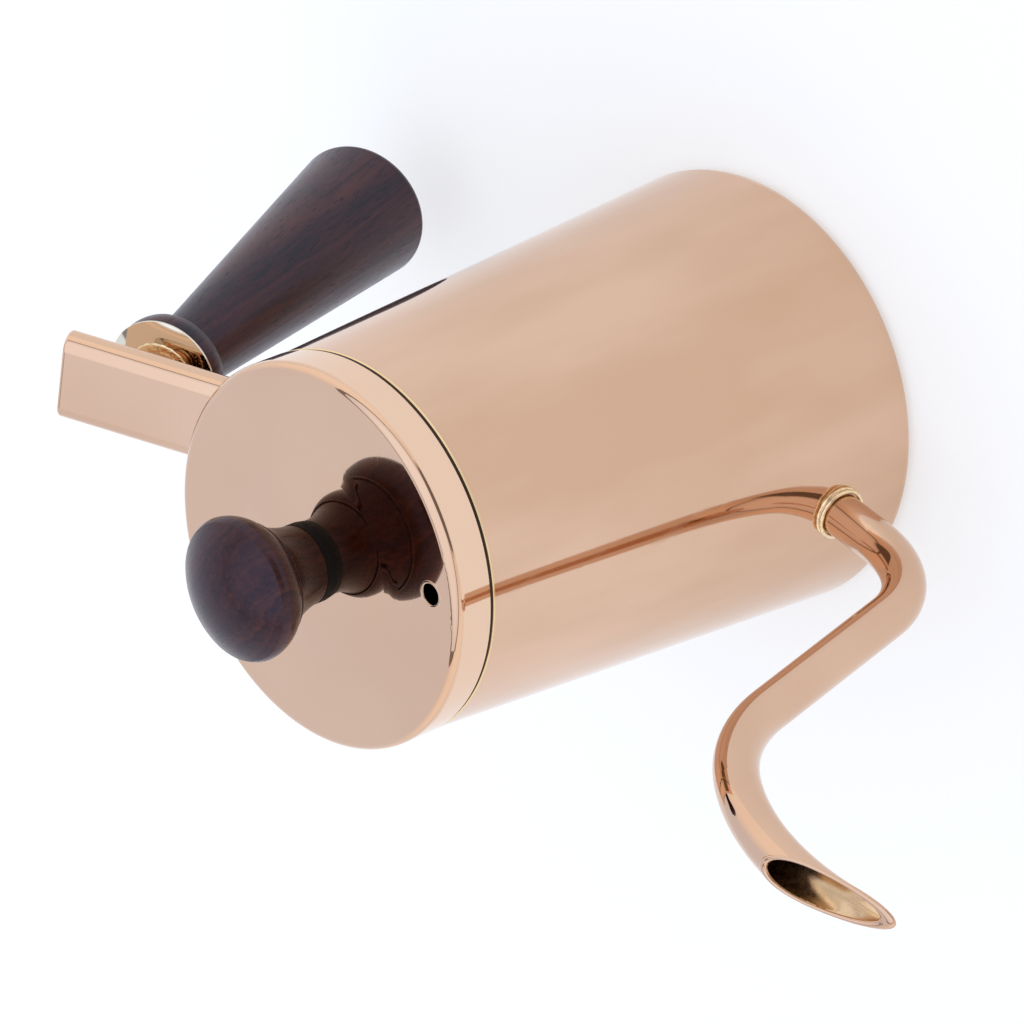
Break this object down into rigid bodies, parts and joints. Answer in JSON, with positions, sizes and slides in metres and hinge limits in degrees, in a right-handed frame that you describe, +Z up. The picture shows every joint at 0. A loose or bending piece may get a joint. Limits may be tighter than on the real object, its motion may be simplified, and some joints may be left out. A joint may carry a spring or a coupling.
{
  "type": "gooseneck kettle",
  "caption": "Small pour-over kettle: conical metal body, thin swan-neck spout, sloping arm with a hanging wooden grip, lift-off domed lid with a wooden knob.",
  "frame": {"origin": "centre of the base plate's underside, on the kettle's axis", "axes": "+Z up along the kettle's axis, +X towards the spout, the handle on -X"},
  "size_m": [0.2893, 0.103, 0.1655],
  "materials": {
    "copper_body": "mirror-polished rose copper plating, faint hairline scratches",
    "copper_lid": "mirror-polished rose copper plating",
    "copper_spout": "mirror-polished rose copper plating",
    "copper_handle": "mirror-polished rose copper plating",
    "disc_steel": "mirror-polished stainless steel",
    "base_metal": "turned, satin",
    "inner_steel": "satin stainless steel",
    "aluminium_core": "mill",
    "brass_insert": "turned",
    "fixing_steel": "zinc-bright",
    "grip_wood": "dark oiled hardwood, satin",
    "knob_wood": "dark oiled hardwood, satin",
    "black_silicone": "matt"
  },
  "bodies": {
    "kettle": {"body_wall": "copper_body", "base_plate": "base_metal", "base_core": "aluminium_core", "inner_floor": "inner_steel", "spout_tube": "copper_spout", "spout_bead": "copper_spout", "handle_arm": "copper_handle", "arm_boss": "copper_handle", "grip_disc": "disc_steel", "grip_insert": "brass_insert", "grip_stud": "fixing_steel", "grip": "grip_wood"},
    "lid_ring": {"lid_sleeve": "inner_steel"},
    "lid": {"lid_cap": "copper_lid", "knob": "knob_wood", "knob_washer": "black_silicone", "knob_insert": "brass_insert", "steel_washer": "fixing_steel", "spring_washer": "fixing_steel", "knob_screw": "fixing_steel"}
  },
  "joints": [
    {"name": "lid_lift", "type": "slide", "parent": "kettle", "child": "lid_ring", "axis": [0, 0, 1], "range_m": [0, 0.06]},
    {"name": "lid_turn", "type": "hinge", "parent": "lid_ring", "child": "lid", "pos_m": [0, 0, 0.1261], "axis": [0, 0, 1], "continuous": true}
  ]
}
